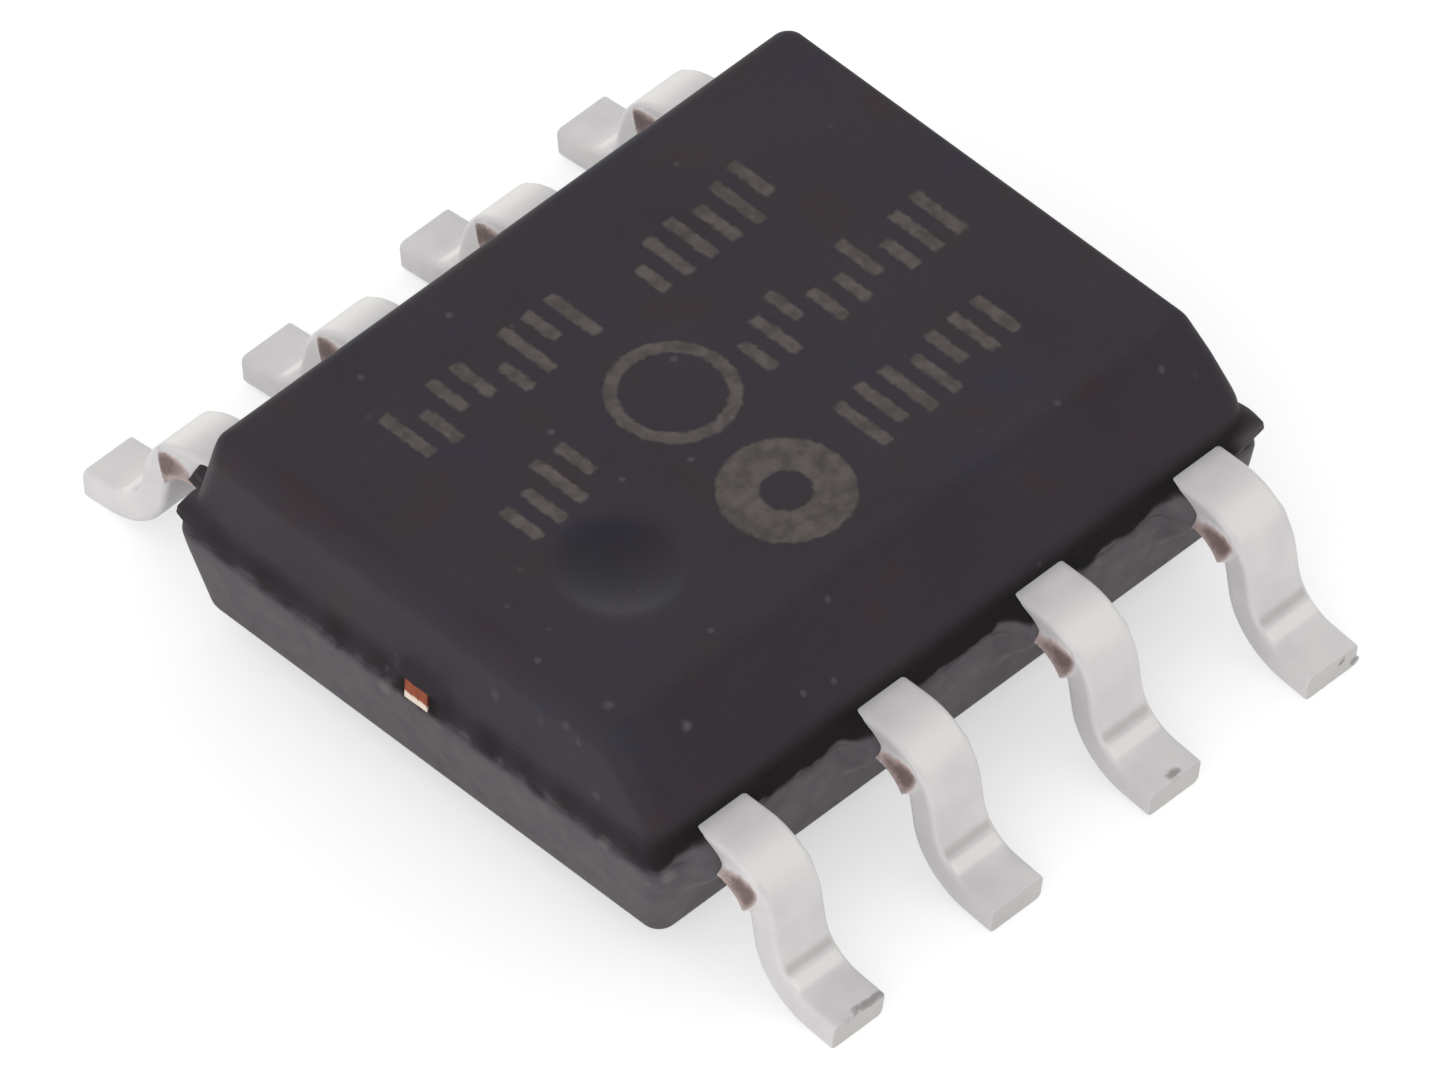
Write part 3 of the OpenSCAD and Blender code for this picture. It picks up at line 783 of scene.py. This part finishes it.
def tin_finish():
    """Matte tin over copper: soft clouds, fine rolling lines along the lead, brown-grey bare metal at the
    cuts, a painted highlight on each heel's bar and shoulder bend, painted shade in the heel groove and on
    the toes, and a few stains."""
    material, paint, shader = new_finish("matte_tin")
    place = millimetres(paint)
    clouds = grain(paint, place, size=0.35, detail=3.0)
    fine = grain(paint, place, size=0.025, detail=3.0, rough=0.6)
    lines = grain(paint, millimetres(paint, (1, 0.12, 0.12)), size=0.02)
    smear = grain(paint, place, size=0.07, detail=3.0, rough=0.6)
    smears = smear - 0.5
    cut = kept_mark(paint, "bare")
    sheen_and_shade = kept_mark(paint, "sheen_and_shade")
    dull = None
    for middle, squeeze, stain_radius in stains:
        off = paint.node("VectorMath", {"operation": "SUBTRACT"}, i0=place, i1=middle)
        off = paint.node("VectorMath", {"operation": "MULTIPLY"}, i0=off, i1=squeeze)
        off = paint.node("VectorMath", {"operation": "LENGTH"}, out="Value", i0=off)
        spot = (stain_radius - off + smears * 0.07).above(0.0, 0.014)
        dull = spot if dull is None else paint.maths("MAXIMUM", dull, spot)

    grey_tin = (0.735, 0.712, 0.728, 1)
    pale_tin = (0.845, 0.822, 0.815, 1)
    # Tones for the painted highlight and the painted shade on the tin.
    highlight_tin = (0.97, 0.95, 0.91, 1)
    toe_shade_grey = (0.48, 0.47, 0.43, 1)
    stain_grey = (0.26, 0.245, 0.24, 1)
    thin_copper = (0.56, 0.44, 0.415, 1)
    bare_copper = (0.20, 0.145, 0.14, 1)
    copper = (cut + smears * 0.5).above(0.28, 0.2)
    tin = clouds.above(0.5, 0.25).blend(grey_tin, pale_tin)
    # Painted highlight on the heel bar and shoulder bend, then painted shade in the heel groove and on the
    # toes.
    tin = (sheen_and_shade.above(0.5, 0.5) * 0.85).blend(tin, highlight_tin)
    tin = ((0.0 - sheen_and_shade).above(0.4, 0.4) * 0.6).blend(tin, toe_shade_grey)
    tin = (dull * 0.75).blend(tin, stain_grey)
    bare = (cut + smears * 0.6).above(0.66, 0.3).blend(thin_copper, bare_copper)
    relief = fine * 0.6 + lines * 0.4 + copper * smear
    set_shader(
        paint, shader,
        Base_Color=copper.blend(tin, bare),
        Roughness=0.58 + (clouds - 0.5) * 0.12 + copper * 0.1,
        Metallic=0.18 - copper * 0.1,
        Normal=paint.node("Bump", Height=relief, Strength=0.25, Distance=0.008 * MM),
    )
    return material


tin = tin_finish()
for number, name in enumerate(lead_names, 1):
    lead_points, lead_bare, lead_sheen_and_shade = formed_lead(number, name)
    lead = skin("formed_" + name, lead_points)
    mark(lead, "bare", lead_bare)
    mark(lead, "sheen_and_shade", lead_sheen_and_shade)
    lead.data.materials.append(tin)
    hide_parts(name)
    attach(lead, "root")


# Die paddle. A copper plate of the lead frame under the chip. Its two tie bars are sheared off close to the
# end walls, where the cut copper shows.
def copper_finish():
    """Sheared copper: orange metal with streaks down the cut and a paler burr along its lower edge."""
    material, paint, shader = new_finish("sheared_copper")
    streaks = grain(paint, millimetres(paint, (1, 1, 0.25)), size=0.03)
    height = paint.node("SeparateXYZ", out="Z", Vector=millimetres(paint))
    burr_height = 0.065
    burr = (frame_low + burr_height - height + (streaks - 0.5) * 0.04).above(0.0, 0.012)
    dark_copper = (0.2, 0.038, 0.012, 1)
    bright_copper = (0.4, 0.088, 0.03, 1)
    burr_pink = (0.88, 0.76, 0.66, 1)
    copper = streaks.above(0.5, 0.25).blend(dark_copper, bright_copper)
    set_shader(
        paint, shader,
        Base_Color=burr.blend(copper, burr_pink),
        Roughness=0.42 + streaks * 0.2,
        Metallic=0.7,
        Normal=paint.node("Bump", Height=streaks, Strength=0.4, Distance=0.008 * MM),
    )
    return material


def dress(node_name, material):
    """Gives a CAD node its finish."""
    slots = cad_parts[node_name].data.materials
    slots.clear()
    slots.append(material)


dress("die_paddle", copper_finish())


# Die attach. A thin bed of silver-filled adhesive, spread on the paddle and cured under the chip, which it
# holds down.
def adhesive_finish():
    """Dull silver paste: pale grey with flakes."""
    material, paint, shader = new_finish("silver_adhesive")
    flakes = grain(paint, millimetres(paint), size=0.02)
    grey = flakes.blend((0.3, 0.3, 0.29, 1), (0.6, 0.6, 0.58, 1))
    set_shader(paint, shader, Base_Color=grey, Roughness=0.5 + flakes * 0.3, Metallic=0.5)
    return material


dress("die_attach", adhesive_finish())


# Regulator die. A chip sawn from a polished silicon wafer, with the circuit on its upper face. It is glued
# to the paddle by the adhesive under it.
def silicon_finish():
    """Polished silicon: blue-grey blocks of circuit under a clear film."""
    material, paint, shader = new_finish("polished_silicon")
    block_pitch = 0.12
    blocks = paint.node("TexVoronoi", {"distance": "CHEBYCHEV"}, Vector=millimetres(paint),
                        Scale=1 / block_pitch)
    blue_grey = blocks.blend((0.06, 0.075, 0.1, 1), (0.2, 0.2, 0.22, 1))
    set_shader(paint, shader, Base_Color=blue_grey, Roughness=0.15 + blocks * 0.2, Metallic=0.4)
    return material


dress("regulator_die", silicon_finish())


# Bond wires. Fine drawn gold wires, each with a ball welded on the chip and a flattened stitch on its
# lead's finger.
def gold_finish():
    """Drawn gold: warm yellow with faint drawing lines."""
    material, paint, shader = new_finish("drawn_gold")
    drawn = grain(paint, millimetres(paint), size=0.01)
    yellow = drawn.blend((0.65, 0.4, 0.1, 1), (0.85, 0.58, 0.2, 1))
    set_shader(paint, shader, Base_Color=yellow, Roughness=0.22 + drawn * 0.15, Metallic=1.0)
    return material


gold = gold_finish()
for signal in ("output", "ground", "bypass", "shutdown", "supply"):
    dress("bond_wire_" + signal, gold)


# Table. A plain sheet of white paper that the part stands on. It belongs to the picture and is no part of
# the object.
table_half = 0.6
table_drop = 0.000002


def table_finish():
    """White paper that keeps its shadow: diffuse white, lifted to full white where the camera or a shiny
    piece sees it, and not where it lights the object."""
    material, paint, shader = new_finish("white_paper")
    camera_ray = paint.node("LightPath", out="Is Camera Ray")
    glossy_ray = camera_ray.other("Is Glossy Ray")
    mirrored = paint.maths("MAXIMUM", glossy_ray, camera_ray.other("Is Transmission Ray"))
    seen = paint.maths("MAXIMUM", camera_ray, mirrored)
    set_shader(
        paint, shader,
        Base_Color=(0.8, 0.8, 0.8, 1),
        Roughness=0.9,
        Specular_IOR_Level=0.0,
        Emission_Color=seen.blend((0, 0, 0, 1), (1, 1, 1, 1)),
        Emission_Strength=0.5,
    )
    return material


table_mesh = bpy.data.meshes.new("table")
table_corners = [(-1, -1), (1, -1), (1, 1), (-1, 1)]
table_points = [(x * table_half, y * table_half, -table_drop) for x, y in table_corners]
table_mesh.from_pydata(table_points, [], [(0, 1, 2, 3)])
table = bpy.data.objects.new("table", table_mesh)
table_mesh.materials.append(table_finish())
bpy.context.scene.collection.objects.link(table)


# Light. A white room, brightest round the horizon and behind the part, and one broad soft lamp on the front
# left.
world = bpy.data.worlds.new("white_room")
world.use_nodes = True
bpy.context.scene.world = world
room = Tone(world.node_tree)
side_on = room.node("SeparateXYZ", out="X", Vector=room.node("TexCoord", out="Generated"))
away = side_on.other("Y")
up = side_on.other("Z")
wall_light = 0.95 - up * up * 0.46 + away * 0.16 - side_on * 0.03
background = world.node_tree.nodes["Background"]
room.feed(background.inputs["Color"], wall_light.blend((0, 0, 0, 1), (1, 1, 1, 1)))
background.inputs["Strength"].default_value = 1.0


def lamp(name, place, size, watts):
    """A square soft lamp that faces the origin."""
    data = bpy.data.lights.new(name, "AREA")
    data.size = size
    data.energy = watts
    made = bpy.data.objects.new(name, data)
    made.location = place
    made.rotation_euler = (-Vector(place)).to_track_quat("-Z", "Y").to_euler()
    bpy.context.scene.collection.objects.link(made)


lamp("front_lamp", (-0.17, -0.12, 0.12), size=0.16, watts=0.08)


# Camera. A long lens from the front left, looking down on the top face. In millimetres, the picture is
# picture_width across at the part, and the origin lies this far right of and below the picture's middle.
azimuth = np.radians(-46.19)
elevation = np.radians(47.01)
roll = np.radians(1.28)
camera_distance = 260.0
picture_width = 8.157
origin_right = -0.0065
origin_down = 0.2319

level = np.array([np.cos(azimuth), np.sin(azimuth), 0.0])
ahead = np.array([np.sin(azimuth), -np.cos(azimuth), 0.0])
towards = ahead * np.cos(elevation) + np.array([0.0, 0.0, np.sin(elevation)])
upright = np.cross(towards, level)
right = np.cos(roll) * level + np.sin(roll) * upright
upright = np.cross(towards, right)
eye = towards * camera_distance - origin_right * right + origin_down * upright
camera_data = bpy.data.cameras.new("camera")
camera_data.sensor_width = 36.0
camera_data.lens = camera_data.sensor_width * camera_distance / picture_width
camera_data.clip_start = 0.01
camera = bpy.data.objects.new("camera", camera_data)
turned = Matrix(np.stack([right, upright, towards], -1).tolist()).to_4x4()
camera.matrix_world = Matrix.Translation((eye * MM).tolist()) @ turned
bpy.context.scene.collection.objects.link(camera)
bpy.context.scene.camera = camera
bpy.context.scene.view_settings.view_transform = "Standard"
